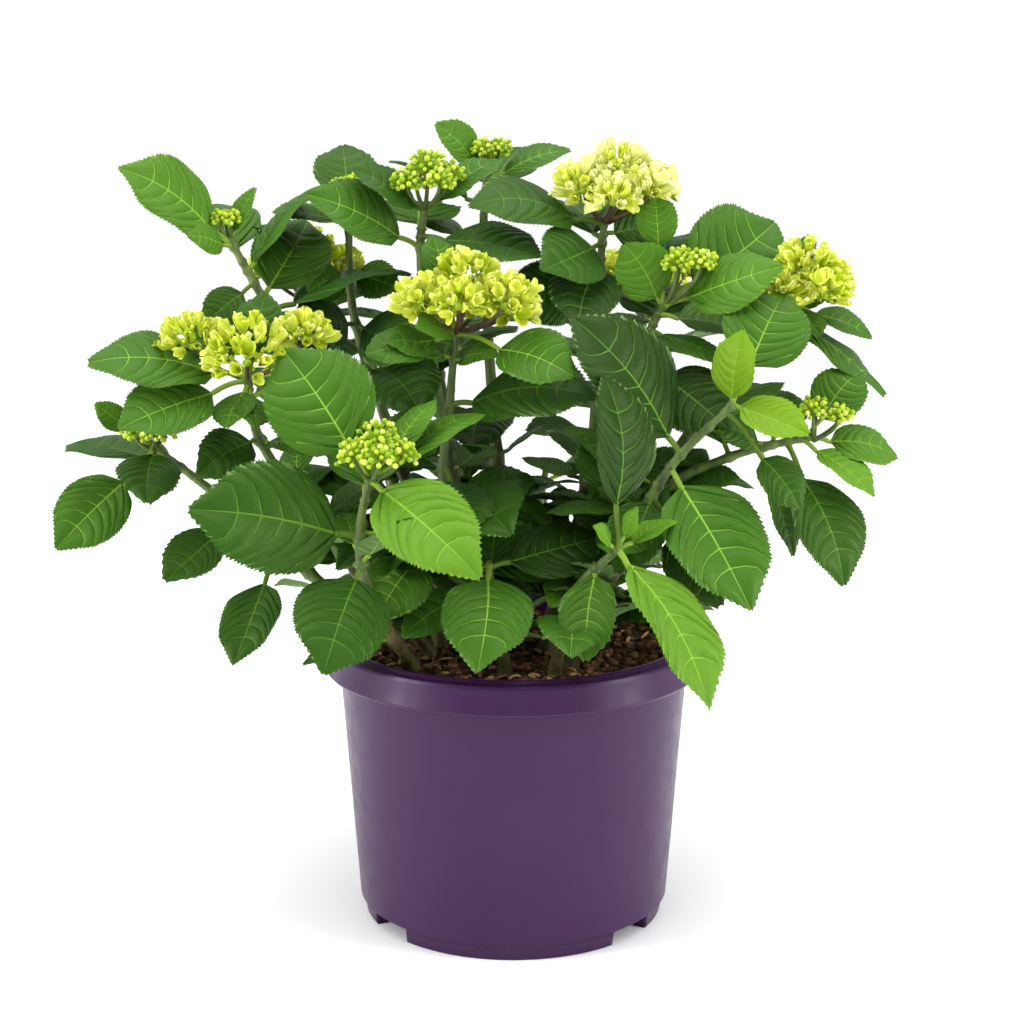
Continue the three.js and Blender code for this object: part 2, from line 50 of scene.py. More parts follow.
# ---- the shoots, in millimetres and degrees, as the CAD model has them ---------------------
# stem: the cane's route from the soil up.  head: kind, offset of its middle from the cane's
# top, spread, cluster radius, clusters, and "pale" for ivory florets.  leaves: height on the
# cane, heading, rise, reach to the tip, turn about the midrib, stalk, tone, and where it
# matters how broad and how folded.  behind: pairs on the far side, first heading.
SOIL_TOP = 168
STALK = 14
SHOOTS = {
    "left_high": dict(
        stem=[(-45, 10), (-105, 5, 310), (-150, 0, 385), (-172, 0, 425)],
        head=("buds", -2, 0, 12, 4, 6, 3),
        leaves=[
            (420, -158, 35, 84, -50, 16, "fresh"), (419, -133, 15, 38, -65, 9, "fresh"),
            (424, 18, 62, 36, 20, 6, "fresh"), (405, 30, 43, 76, -10, 6, "mid"),
            (389, 68, 36, 74, 30, 8, "mid"), (398, -140, -32, 44, -60, 10, "dark"),
        ],
        behind=(2, 115),
    ),
    "left_bloom": dict(
        stem=[(-50, -15), (-115, -45, 255), (-150, -60, 315), (-155, -62, 350)],
        head=("open", 2, -4, 18, 32, 19, 3),
        leaves=[
            (349, -165, 7, 92, -25, 18, "mid"), (347, -144, -14, 86, -35, 24, "mid"),
            (348, 76, 56, 58, 15, 16, "dark"), (350, 160, 42, 48, -50, 12, "mid"),
            (345, -104, -30, 42, 5, 8, "mid"), (342, -77, -26, 40, -15, 8, "mid"),
            (313, -139, -22, 48, -55, 6, "dark"), (311, -35, -7, 46, 15, 6, "mid"),
        ],
        behind=(1, 60),
    ),
    "left_low": dict(
        stem=[(-60, -30), (-120, -45, 225), (-180, -45, 278), (-215, -50, 307)],
        head=("buds", 0, -2, 8, 9, 7, 4),
        leaves=[
            (304, -139, -36, 86, -55, 28, "mid"), (305, -85, -22, 62, -5, 8, "dark"),
            (306, -165, 40, 43, -60, 18, "fresh"), (264, -131, -27, 68, -35, 20, "dark"),
            (244, -107, -39, 88, 0, 28, "dark", 0.85),
        ],
        behind=(2, 150),
    ),
    "front_left": dict(
        stem=[(-60, -50), (-85, -100, 235), (-87, -108, 270), (-80, -112, 300)],
        head=("buds", 4, -4, 14, 14, 10, 6),
        leaves=[
            (298, 151, 50, 92, -50, 19, "mid", 1.15), (263, -163, 13, 100, -65, 12, "dark", 1.1),
            (297, -40, -28, 94, 40, 10, "bright", 0.9), (297, 27, 24, 80, 0, 22, "fresh"),
            (298, 37, 42, 62, 5, 22, "fresh"), (247, -110, -44, 74, -25, 10, "dark", 1.2),
        ],
        behind=(1, 95),
    ),
    "centre": dict(
        stem=[(-20, -20), (-42, -35, 270), (-38, -38, 330), (-34, -40, 375)],
        head=("open", 7, -2, 17, 28, 18, 7),
        leaves=[
            (372, -33, -14, 86, 40, 32, "mid"), (357, -151, 15, 48, -30, 6, "mid"),
            (356, -40, 8, 36, 35, 6, "mid"), (370, -157, -8, 58, -30, 12, "mid"),
            (372, -122, 9, 42, -40, 8, "fresh"), (372, 116, 59, 66, 0, 26, "mid"),
            (329, -23, 5, 96, 30, 14, "dark"), (276, -60, -8, 84, 20, 14, "dark"),
            (262, -150, -20, 78, -15, 14, "deep"), (292, -75, -20, 74, -5, 20, "dark"),
            (315, -145, -7, 52, -60, 6, "dark"), (258, -117, -27, 95, -35, 40, "mid"),
            (275, -104, -30, 62, -15, 14, "dark"),
        ],
        behind=(1, 80),
    ),
    "top_left": dict(
        stem=[(-35, 30), (-85, 40, 320), (-101, 40, 378), (-103, 40, 440)],
        head=("buds", 4, 0, 14, 12, 7, 3),
        leaves=[
            (440, 99, 43, 58, 0, 8, "dark", 1.2), (400, -126, -11, 42, -65, 6, "mid"),
            (400, -38, -10, 44, 65, 6, "mid"), (432, -160, 8, 50, -20, 8, "mid"),
            (368, -49, -12, 62, 55, 8, "dark"), (368, -131, 9, 58, -60, 8, "dark"),
            (345, -62, -18, 88, 20, 14, "dark"), (340, -152, -8, 78, -60, 12, "deep"),
        ],
        behind=(2, 75),
    ),
    "top_mid": dict(
        stem=[(-15, 5), (-47, 10, 328), (-57, 16, 420), (-54, 15, 444)],
        head=("buds", 2, -2, 17, 15, 10, 5),
        leaves=[
            (418, -158, 25, 80, -50, 15, "mid"), (440, -160, 30, 54, -40, 6, "dark"),
            (440, 23, 30, 62, 15, 12, "mid"), (425, -26, -7, 84, 25, 16, "dark"),
        ],
        behind=(2, 100),
    ),
    "top_back": dict(
        stem=[(0, 40), (-15, 60, 340), (-19, 65, 429), (-17, 70, 462)],
        head=("buds", 2, 0, 14, 6, 8, 3),
        leaves=[
            (460, -162, 44, 48, -55, 8, "fresh"), (457, 1, 19, 58, 25, 12, "mid"),
            (440, 165, 24, 70, 0, 12, "dark"), (318, -98, -15, 84, 0, 14, "deep"),
        ],
        behind=(2, 70),
    ),
    "right_high": dict(
        stem=[(20, 0), (48, 5, 290), (53, 20, 400), (56, 20, 436)],
        head=("open", 8, -3, 19, 23, 17, 7, "pale"),
        leaves=[
            (432, -159, 8, 90, -30, 20, "dark"), (420, -123, -9, 72, -45, 12, "dark"),
            (411, -103, -28, 80, -10, 14, "deep"), (394, -144, -4, 74, -65, 14, "dark"),
            (426, 39, 4, 54, 70, 8, "dark"), (284, -49, -17, 74, 40, 14, "dark"),
        ],
        behind=(2, 110),
    ),
    "right_mid": dict(
        stem=[(25, 10), (55, 0, 290), (82, -8, 368), (92, -8, 388)],
        head=("buds", 14, -4, 26, 10, 9, 4),
        leaves=[
            (385, 106, 76, 70, -15, 36, "fresh"), (385, 37, 27, 104, 55, 26, "mid", 1.1),
            (384, 175, 58, 46, -75, 6, "fresh", 1.35), (384, -15, 20, 78, 45, 16, "fresh"),
            (370, -31, -17, 58, 10, 8, "dark", 0.85), (354, -49, -25, 84, 50, 24, "deep"),
            (380, -26, -10, 56, -45, 12, "mid"),
        ],
        behind=(1, 85),
    ),
    "right_far": dict(
        stem=[(35, 5), (100, 10, 290), (156, 12, 364), (171, 14, 388)],
        head=("open", 6, -14, 10, 18, 16, 5),
        leaves=[
            (380, -17, -38, 82, 5, 14, "mid"),
            (384, 0, -22, 58, 25, 18, "mid"), (385, -61, -28, 38, 5, 6, "mid"),
            (385, 65, 47, 54, -20, 12, "mid"),
        ],
        behind=(2, 60),
    ),
    "right_low": dict(
        stem=[(40, -20), (85, -30, 270), (130, -30, 296), (180, -35, 310)],
        head=("buds", 8, 0, 16, 11, 8, 4),
        leaves=[
            (306, -50, -59, 94, 15, 24, "dark"), (302, -54, -63, 70, -15, 26, "mid"),
            (304, 75, 25, 60, 10, 14, "mid"), (309, 26, 45, 54, 45, 14, "mid", 1.2),
            (308, -32, -33, 58, 10, 12, "bright"), (309, 10, -14, 60, 35, 14, "fresh"),
            (303, -158, 24, 44, -50, 6, "dark"),
        ],
        behind=(2, 95),
    ),
    "right_front": dict(
        stem=[(35, -35), (75, -60, 265), (93, -65, 298), (128, -70, 335)],
        head=None,
        leaves=[
            (304, 179, 51, 104, -40, 12, "deep"), (334, -26, -17, 50, 40, 4, "lime", 0.85, 20),
            (333, 30, 80, 46, 10, 4, "lime", 1.25, 12),
            (296, -49, -48, 100, 20, 13, "mid"), (330, -22, -50, 72, 55, 34, "dark"),
            (246, 111, 60, 78, -10, 34, "dark", 1.3), (278, -36, -51, 78, 45, 24, "deep"),
            (285, -130, -50, 62, -30, 12, "dark"), (333, 54, 45, 87, 30, 29, "mid", 1.2),
        ],
        behind=(1, 60),
    ),
    "young": dict(
        stem=[(25, -50), (35, -80, 222), (45, -95, 240), (60, -110, 258)],
        head=None,
        leaves=[
            (258, 119, 78, 100, 20, 24, "deep", 0.95, 14), (257, -49, -47, 108, -5, 11, "bright", 0.75),
            (256, 16, 22, 40, 10, 10, "bright"),
            (257, -10, 66, 28, 50, 8, "bright"), (256, -145, 44, 24, -60, 6, "bright"),
            (243, -101, -55, 58, 0, 4, "mid", 0.85),
        ],
        behind=(1, 50),
    ),
    "low_front": dict(
        stem=[(-5, -45), (-12, -62, 215), (-14, -72, 230), (-14, -76, 242)],
        head=None,
        leaves=[
            (240, -95, -33, 84, 0, 12, "mid"), (238, 165, 5, 70, -20, 12, "deep"),
            (226, -150, -22, 64, -20, 10, "dark"), (238, 20, 10, 74, 30, 12, "deep"),
        ],
        behind=(1, 90),
    ),
    "back_left": dict(
        stem=[(-40, 42), (-90, 85, 280), (-128, 110, 345), (-138, 118, 378)],
        head=("open", 0, 2, 22, 24, 16, 6), leaves=[], behind=(3, 40),
    ),
    "back_centre": dict(
        stem=[(-12, 62), (-40, 110, 270), (-52, 140, 340), (-54, 146, 368)],
        head=("buds", 0, 2, 16, 12, 8, 5), leaves=[], behind=(3, 10),
    ),
    "back_right": dict(
        stem=[(22, 52), (60, 100, 270), (84, 130, 340), (90, 138, 372)],
        head=("open", 2, 2, 22, 24, 16, 6), leaves=[], behind=(3, 60),
    ),
    "back_low": dict(
        stem=[(5, 80), (12, 120, 215), (20, 150, 240), (24, 166, 258)],
        head=None, leaves=[], behind=(2, 20),
    ),
}


# ---- materials -----------------------------------------------------------------------------
def linear(red, green, blue):
    """A colour given as sRGB bytes, in the linear values that shaders use."""
    out = []
    for value in (red, green, blue):
        share = value / 255
        out.append(share / 12.92 if share <= 0.04045 else ((share + 0.055) / 1.055) ** 2.4)
    return (*out, 1)


class Shader:
    """A Principled material built node by node."""

    def __init__(self, name, colour, roughness, specular=0.5):
        self.material = bpy.data.materials.new(name)
        self.material.use_nodes = True
        self.material.diffuse_color = colour
        self.nodes = self.material.node_tree.nodes
        self.links = self.material.node_tree.links
        self.surface = self.nodes["Principled BSDF"]
        self.surface.inputs["Base Color"].default_value = colour
        self.surface.inputs["Roughness"].default_value = roughness
        self.surface.inputs["Specular IOR Level"].default_value = specular
        self.place = self.nodes.new("ShaderNodeTexCoord").outputs["Object"]

    def noise(self, scale, detail=4, stretch=None):
        node = self.nodes.new("ShaderNodeTexNoise")
        node.inputs["Scale"].default_value = scale
        node.inputs["Detail"].default_value = detail
        self.links.new(self.stretched(stretch), node.inputs["Vector"])
        return node.outputs["Fac"]

    def cells(self, scale):
        node = self.nodes.new("ShaderNodeTexVoronoi")
        node.feature = "DISTANCE_TO_EDGE"
        node.inputs["Scale"].default_value = scale
        self.links.new(self.place, node.inputs["Vector"])
        return node.outputs["Distance"]

    def stretched(self, stretch):
        if stretch is None:
            return self.place
        node = self.nodes.new("ShaderNodeMapping")
        node.inputs["Scale"].default_value = stretch
        self.links.new(self.place, node.inputs["Vector"])
        return node.outputs["Vector"]

    def spread(self, value, low, high, to_low, to_high):
        node = self.nodes.new("ShaderNodeMapRange")
        for name, number in zip(("From Min", "From Max", "To Min", "To Max"), (low, high, to_low, to_high)):
            node.inputs[name].default_value = number
        self.links.new(value, node.inputs["Value"])
        return node.outputs["Result"]

    def ramp(self, value, stops):
        node = self.nodes.new("ShaderNodeValToRGB")
        while len(node.color_ramp.elements) < len(stops):
            node.color_ramp.elements.new(0.5)
        for element, (position, colour) in zip(node.color_ramp.elements, stops):
            element.position = position
            element.color = colour
        self.links.new(value, node.inputs["Fac"])
        return node.outputs["Color"]

    def colour(self, output):
        self.links.new(output, self.surface.inputs["Base Color"])

    def roughness(self, output):
        self.links.new(output, self.surface.inputs["Roughness"])

    def bump(self, output, depth, strength=1.0):
        node = self.nodes.new("ShaderNodeBump")
        node.inputs["Distance"].default_value = depth
        node.inputs["Strength"].default_value = strength
        self.links.new(output, node.inputs["Height"])
        if self.surface.inputs["Normal"].is_linked:
            before = self.surface.inputs["Normal"].links[0].from_socket
            self.links.new(before, node.inputs["Normal"])
        self.links.new(node.outputs["Normal"], self.surface.inputs["Normal"])


def leaf_material(name, colour, roughness, relief):
    shader = Shader(name, colour, roughness, 0.2)
    shader.surface.inputs["Specular Tint"].default_value = (0.85, 1, 0.45, 1)
    shader.roughness(shader.spread(shader.noise(60), 0.3, 0.7, roughness - 0.08, roughness + 0.1))
    shader.bump(shader.cells(420), 0.0006, relief)
    shader.bump(shader.noise(1500, 2), 0.0002, 0.4)
    return shader.material


def petal_material(name, colour):
    shader = Shader(name, colour, 0.55, 0.2)
    shader.surface.inputs["Subsurface Weight"].default_value = 0.2
    shader.surface.inputs["Subsurface Radius"].default_value = (0.003, 0.003, 0.001)
    shader.roughness(shader.spread(shader.noise(300), 0.3, 0.7, 0.45, 0.65))
    shader.bump(shader.noise(700, 3), 0.0004, 0.5)
    return shader.material


def stem_material(name, pale, deep, fleck):
    shader = Shader(name, pale, 0.5)
    streaks = shader.noise(220, 4, (1, 1, 0.12))
    shader.colour(shader.ramp(streaks, [(0.3, deep), (0.55, pale), (0.72, fleck)]))
    shader.roughness(shader.spread(shader.noise(150), 0.3, 0.7, 0.4, 0.62))
    shader.bump(streaks, 0.0008, 0.5)
    return shader.material


def plain_rough(name, colour, roughness, bump_scale, depth):
    shader = Shader(name, colour, roughness, 0.3)
    shader.bump(shader.noise(bump_scale, 6), depth, 0.8)
    return shader.material


def pot_material():
    shader = Shader("pot_plastic", linear(52, 17, 64), 0.34, 0.27)
    cloud = shader.noise(9, 5)
    shader.colour(shader.ramp(cloud, [(0.3, linear(49, 15, 61)), (0.7, linear(55, 20, 67))]))
    shader.roughness(shader.spread(shader.noise(90, 6), 0.3, 0.7, 0.3, 0.42))
    shader.bump(shader.noise(1400, 3), 0.00012, 0.5)
    shader.bump(shader.noise(14, 2), 0.0012, 0.25)
    return shader.material


TOPS = {
    "deep": leaf_material("leaf_deep", linear(29, 56, 14), 0.4, 0.45),
    "dark": leaf_material("leaf_dark", linear(41, 77, 19), 0.38, 0.5),
    "mid": leaf_material("leaf_mid", linear(56, 97, 24), 0.38, 0.5),
    "fresh": leaf_material("leaf_fresh", linear(70, 113, 28), 0.38, 0.45),
    "bright": leaf_material("leaf_bright", linear(86, 129, 32), 0.38, 0.4),
    "lime": leaf_material("leaf_lime", linear(104, 142, 26), 0.42, 0.35),
}
UNDERS = {
    "old": leaf_material("leaf_underside", linear(92, 122, 68), 0.6, 0.3),
    "young": leaf_material("leaf_underside_young", linear(112, 148, 40), 0.55, 0.3),
}
VEINS = {
    "dark": leaf_material("vein_green", linear(80, 124, 36), 0.5, 0.1),
    "light": leaf_material("vein_pale", linear(124, 165, 55), 0.5, 0.1),
    "under": leaf_material("vein_underside", linear(140, 168, 92), 0.55, 0.1),
}
STALKS = {
    "green": leaf_material("leaf_stalk", linear(124, 154, 54), 0.45, 0.1),
    "shade": leaf_material("leaf_stalk_shaded", linear(88, 114, 42), 0.5, 0.1),
}
PETALS = [
    petal_material("petal_lime", linear(186, 202, 44)),
    petal_material("petal_pale", linear(220, 229, 92)),
    petal_material("petal_cream", linear(240, 243, 160)),
    petal_material("petal_ivory", linear(250, 251, 204)),
]
FLORET_SHADES = [  # foot, middle and tip, from the greenest floret to the palest
    (PETALS[0], PETALS[0], PETALS[1]), (PETALS[0], PETALS[1], PETALS[1]), (PETALS[0], PETALS[1], PETALS[2]),
    (PETALS[1], PETALS[1], PETALS[2]), (PETALS[1], PETALS[2], PETALS[2]),
    (PETALS[1], PETALS[2], PETALS[3]),
]
BEADS = [
    petal_material("bud_green", linear(140, 172, 34)),
    petal_material("bud_lime", linear(176, 198, 52)),
    petal_material("bud_pale", linear(208, 222, 100)),
]
CANE = stem_material("cane", linear(84, 108, 40), linear(54, 72, 24), linear(104, 118, 54))
CANE_OLD = stem_material("cane_old", linear(92, 90, 48), linear(60, 52, 28), linear(120, 108, 70))
TWIG_DARK = stem_material("twig_purple", linear(84, 62, 44), linear(58, 36, 30), linear(104, 92, 52))
POT = pot_material()


# ---- mesh building -------------------------------------------------------------------------
class Piece:
    """Gathers many small meshes, each with its material, and joins them into one object."""

    def __init__(self, name, slot, *nodes):
        self.name = name
        self.slot = slot
        self.nodes = nodes
        self.points = []
        self.faces = []
        self.kinds = []
        self.materials = []
        self.count = 0

    def slot_of(self, material):
        if material not in self.materials:
            self.materials.append(material)
        return self.materials.index(material)

    def add(self, points, faces, material, marked=False, other=None):
        """Adds a mesh in one material, with its marked faces in the other."""
        points = np.asarray(points, dtype=float).reshape(-1, 3)
        faces = np.asarray(faces, dtype=np.int64)
        kinds = np.full(len(faces), self.slot_of(material), dtype=np.int32)
        if other is not None:
            kinds[marked] = self.slot_of(other)
        self.points.append(points)
        self.faces.append(faces + self.count)
        self.kinds.append(kinds)
        self.count += len(points)

    def make(self):
        mesh = bpy.data.meshes.new(self.name)
        points = np.concatenate(self.points).astype(np.float32)
        corners = np.concatenate([block.ravel() for block in self.faces]).astype(np.int32)
        sizes = np.concatenate([np.full(len(block), block.shape[1]) for block in self.faces])
        starts = np.concatenate([[0], np.cumsum(sizes)[:-1]]).astype(np.int32)
        mesh.vertices.add(len(points))
        mesh.vertices.foreach_set("co", points.ravel())
        mesh.loops.add(len(corners))
        mesh.loops.foreach_set("vertex_index", corners)
        mesh.polygons.add(len(starts))
        mesh.polygons.foreach_set("loop_start", starts)
        mesh.polygons.foreach_set("material_index", np.concatenate(self.kinds))
        for material in self.materials:
            mesh.materials.append(material)
        mesh.update(calc_edges=True)
        mesh.validate()
        mesh.shade_smooth()
        made = bpy.data.objects.new(self.name, mesh)
        bpy.context.scene.collection.objects.link(made)
        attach(made, "root")
        if self.nodes:
            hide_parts(*self.nodes)
        return made


def grid_faces(rows, columns, closed=False):
    """Quads over a grid of rows by columns of points; closed joins the last column to the first."""
    row = np.arange(rows - 1)[:, None]
    column = np.arange(columns if closed else columns - 1)[None, :]
    after = (column + 1) % columns
    corners = np.broadcast_arrays(
        row * columns + column,
        row * columns + after,
        (row + 1) * columns + after,
        (row + 1) * columns + column,
    )
    return np.stack(corners, axis=-1).reshape(-1, 4)


def unit(vector):
    return vector / max(np.linalg.norm(vector), 1e-12)


def tube(route, radii, sides):
    """Points and quads of an open tube along a route."""
    route = np.asarray(route, dtype=float)
    tangents = np.gradient(route, axis=0)
    side = unit(np.cross(tangents[0], (0.3, 1, 0.1)))
    angles = np.linspace(0, 2 * math.pi, sides, endpoint=False)
    rings = []
    for point, tangent, radius in zip(route, tangents, radii):
        tangent = unit(tangent)
        side = unit(side - tangent * np.dot(side, tangent))
        other = np.cross(tangent, side)
        ring = np.cos(angles)[:, None] * side + np.sin(angles)[:, None] * other
        rings.append(point + radius * ring)
    return np.concatenate(rings), grid_faces(len(route), sides, closed=True)


# ---- canes ---------------------------------------------------------------------------------
HALVINGS = 24


class Cane:
    """A centripetal Catmull-Rom curve through a shoot's points, the same as the CAD model's."""

    def __init__(self, stem):
        points = [np.array(point if len(point) == 3 else (*point, SOIL_TOP), dtype=float) for point in stem]
        first = 2 * points[0] - points[1]
        last = 2 * points[-1] - points[-2]
        self.points = [first, *points, last]
        self.spans = len(points) - 1

    def at(self, share):
        place = share * self.spans
        span = min(int(place), self.spans - 1)
        weight = place - span
        a, b, c, d = self.points[span:span + 4]
        steps = [max(np.linalg.norm(q - p), 1e-4) ** 0.5 for p, q in ((a, b), (b, c), (c, d))]
        start = (b - a) / steps[0] - (c - a) / (steps[0] + steps[1]) + (c - b) / steps[1]
        end = (c - b) / steps[1] - (d - b) / (steps[1] + steps[2]) + (d - c) / steps[2]
        start *= steps[1]
        end *= steps[1]
        square = weight * weight
        cube = square * weight
        return (
            (2 * cube - 3 * square + 1) * b + (cube - 2 * square + weight) * start
            + (3 * square - 2 * cube) * c + (cube - square) * end
        )

    def share(self, height):
        """How far along the cane this height is, found by halving."""
        low, high = 0.0, 1.0
        for _ in range(HALVINGS):
            middle = (low + high) / 2
            if self.at(middle)[2] < height:
                low = middle
            else:
                high = middle
        return low


CANE_SUNK = 6  # how far the cane's foot goes into the soil
CANE_FOOT = 4.1
CANE_TIP = 2.0
CANE_STEPS = 90
CANE_SIDES = 14
NODE_SWELL = 0.35
NODE_REACH = 0.012  # of the cane's length
FOOT_SWELL = 0.25
FOOT_REACH = 0.02  # of the cane's length
RIB_GRAIN = np.array([900, 900, 110])  # ribs are fine across a cane and long along it
RIB_DEPTH = 0.07
OLD_STEPS = 22  # the lowest part of a cane has brown bark
LENTICELS = 70


def cane_piece(name, shoot, rows, draw):
    """The cane with swollen leaf nodes, ribs and lenticels."""
    cane = Cane(shoot["stem"])
    piece = Piece(f"cane_{name}", "stems", f"stem_{name}")
    nodes = sorted({round(cane.share(row[0]), 2) for row in rows})
    shares = np.linspace(0, 1, CANE_STEPS)
    route = np.array([cane.at(share) for share in shares])
    route[0, 2] -= CANE_SUNK
    radii = CANE_FOOT + (CANE_TIP - CANE_FOOT) * shares
    for node in nodes:
        radii *= 1 + NODE_SWELL * np.exp(-(((shares - node) / NODE_REACH) ** 2))
    radii *= 1 + FOOT_SWELL * np.exp(-shares / FOOT_REACH)
    points, faces = tube(route * MM, radii * MM, CANE_SIDES)
    centres = np.repeat(route * MM, CANE_SIDES, axis=0)
    ribs = np.array([noise.noise(Vector(point * RIB_GRAIN)) for point in points])
    points = centres + (points - centres) * (1 + RIB_DEPTH * ribs[:, None])
    old = CANE_SIDES * OLD_STEPS
    piece.add(points, faces[:old], CANE_OLD)
    piece.add(points, faces[old:], CANE)
    cap = points[-CANE_SIDES:]
    piece.add(cap, [list(range(CANE_SIDES))], CANE)
    for _ in range(LENTICELS):
        spot = draw.uniform(0.03, 0.97)
        index = int(spot * (CANE_STEPS - 1))
        angle = draw.randrange(CANE_SIDES)
        centre = points[index * CANE_SIDES + angle]
        outward = unit(centre - route[index] * MM)
        along = unit(route[min(index + 1, CANE_STEPS - 1)] - route[index - 1])
        fleck(piece, centre, outward, along, draw.uniform(0.25, 0.5) * MM)
    return piece.make()


def fleck(piece, centre, outward, along, size):
    """A lenticel: a small raised lens, longer along the cane."""
    across = np.cross(outward, along)
    ring = []
    for step in range(6):
        angle = step * math.pi / 3
        ring.append(centre + along * (1.8 * size * math.cos(angle)) + across * (size * math.sin(angle)))
    ring.append(centre + outward * size * 0.7)
    piece.add(ring, [[step, (step + 1) % 6, 6] for step in range(6)], TWIG_DARK)


# ---- leaves --------------------------------------------------------------------------------
VEIN_ROOTS = (0.03, 0.14, 0.26, 0.39, 0.53, 0.68)  # share of the midrib at each side vein
TEETH = (9, 5, 3, 3, 3, 3, 5)  # teeth on one edge, below the first side vein and above each
FEW_TEETH = (3, 2, 1, 1, 1, 1, 2)  # the same on a small leaf
TOOTH = 0.018  # of the blade's length
COLUMNS = (1, 0.86, 0.62, 0.34)  # of the half width, from the edge inwards
WIDTH = 0.7  # of the blade's length
VEIN_HALF = 0.0042  # of the blade's length
BLADE_THICK = 0.0004
SMALL_LEAF = 0.055  # a blade shorter than this has the coarser mesh
FIRST_PAIR = 14  # how far below the cane's top the first pair behind grows
PAIR_STEP = 30
INNER_LOWEST = 194  # the small inner leaves grow between these heights
INNER_HIGHEST = 286
INNER_REACH = (38, 76)
CLOSE_HEIGHT = 24  # leaves that start this near and point this near would cross
CLOSE_TURN = 50
ORDINARY = (1, None)  # how broad and how folded a leaf is when its row does not say


def lead(v):
    """How far towards the tip a side vein has run when it is at v."""
    v = np.abs(v)
    return 0.14 * v + 0.33 * v ** 2.2


def gather(row):
    """Lets rows meet at the foot and at the tip."""
    return np.clip(row / 0.05, 0, 1) ** 0.6 * (1 - row)


def leaf_rows(teeth):
    """Where each row of the mesh leaves the midrib, its side of a vein, its swell and its tooth."""
    table = np.linspace(0, 1, 400)
    margin = table + lead(1) * gather(table)
    marks = (0, *VEIN_ROOTS, 1)
    rows = []
    for index, count in enumerate(teeth):
        start, end = np.interp(marks[index:index + 2], table, margin)
        for step in range(2 * count):
            share = (step + 0.5) / (2 * count)
            root = np.interp(start + (end - start) * share, margin, table)
            rows.append((root, 0, math.sin(math.pi * share) ** 0.7, step % 2))
        if index < len(VEIN_ROOTS):
            rows.append((VEIN_ROOTS[index], -1, 0, 0))
            rows.append((VEIN_ROOTS[index], 1, 0, 0))
    return np.clip(np.array(rows), [0.004, -1, 0, 0], [0.996, 1, 1, 1])


FINE_ROWS = leaf_rows(TEETH)
COARSE_ROWS = leaf_rows(FEW_TEETH)


class Blade:
    """One leaf's surface: u runs from foot to tip, v from edge to edge."""

    def __init__(self, base, along, face, length, broad, fold, draw):
        self.base = base
        self.axes = np.stack([along, np.cross(along, face), face])
        self.length = length
        self.half = 0.5 * WIDTH * broad * length * draw.uniform(0.95, 1.08)
        self.bend = draw.uniform(0.35, 0.95)
        self.fold = math.radians(draw.uniform(3, 17) if fold is None else fold)
        self.wave = draw.uniform(0, 6.28)
        self.ripple = draw.uniform(0.008, 0.02)
        self.sweep = draw.uniform(-0.05, 0.05)
        self.twist = math.radians(draw.uniform(-16, 16))

    def width(self, u):
        """Half the width at u: all of it a little below the middle, and drawn in at the tip."""
        u = np.clip(u, 0, 1)
        shape = u ** 0.62 * (1 - u) ** 0.74 / 0.392
        return self.half * shape * (1 - 0.5 * np.clip((u - 0.74) / 0.26, 0, 1))

    def at(self, u, v, lift=0.0, tooth=0.0, swell=0.0):
        half = self.bend / 2
        turn = self.bend * u
        scale = self.length / (2 * math.sin(half))
        forward = scale * (np.sin(half) - np.sin(half - turn))
        up = scale * (np.cos(half - turn) - math.cos(half))
        wide = self.width(u)
        edge = np.abs(v)
        twist = self.twist * (u - 0.3)
        out = v * wide * math.cos(self.fold) + np.sign(v) * tooth
        up = up + edge * wide * math.sin(self.fold) - 0.12 * v * v * wide
        up = up + self.ripple * self.length * np.sin(13 * u + self.wave + 1.5 * np.sign(v)) * edge ** 2
        up = up + 0.024 * self.length * swell * np.clip(edge * 4, 0, 1) * (1 - edge ** 3)
        side = out * np.cos(twist) + self.sweep * self.length * np.sin(math.pi * u)
        up = up + out * np.sin(twist) + lift
        return self.base + np.stack([forward + tooth * 0.9, side, up], axis=-1) @ self.axes


def blade_mesh(piece, blade, tone):
    """Both faces of a leaf. Its rows follow the side veins, so each vein is a row of faces."""
    rows = FINE_ROWS if blade.length > SMALL_LEAF else COARSE_ROWS
    root, bank, swell, tooth = (rows[:, index][:, None] for index in range(4))
    middle = blade.length * (0.017 * (1 - root) + 0.003) / (2 * blade.width(root) + 1e-6)
    middle = np.clip(middle, 0.01, 0.2)
    outer = np.ones_like(root) * np.array(COLUMNS)
    v = np.concatenate([-outer, -middle, middle, outer[:, ::-1]], axis=1)
    edge = np.abs(v)
    row = root + bank * VEIN_HALF * (1 - 0.7 * edge)
    u = np.clip(row + lead(v) * gather(row), 0, 1)
    reach = TOOTH * blade.length * tooth * (edge > 0.95) * (0.35 + 0.65 * np.sin(math.pi * u))
    faces = grid_faces(len(rows), v.shape[1])
    columns = v.shape[1] - 1
    on_rib = np.arange(columns) == columns // 2
    on_vein = (rows[:-1, 1] < 0)[:, None] & (np.arange(columns) % (columns - 1) > 0)[None, :]
    veined = (on_vein | on_rib[None, :]).ravel()
    young = tone in ("bright", "fresh", "lime")
    vein = VEINS["light" if young or tone == "mid" else "dark"]
    upper = blade.at(u, v, 0, reach, swell)
    lower = blade.at(u, v, -BLADE_THICK * (1 - edge ** 6), reach, swell)
    piece.add(upper, faces, TOPS[tone], veined, vein)
    piece.add(lower, faces[:, ::-1], UNDERS["young" if young else "old"], veined, VEINS["under"])


def heading(angle, rise):
    across, up = math.radians(angle), math.radians(rise)
    return np.array([math.cos(across) * math.cos(up), math.sin(across) * math.cos(up), math.sin(up)])


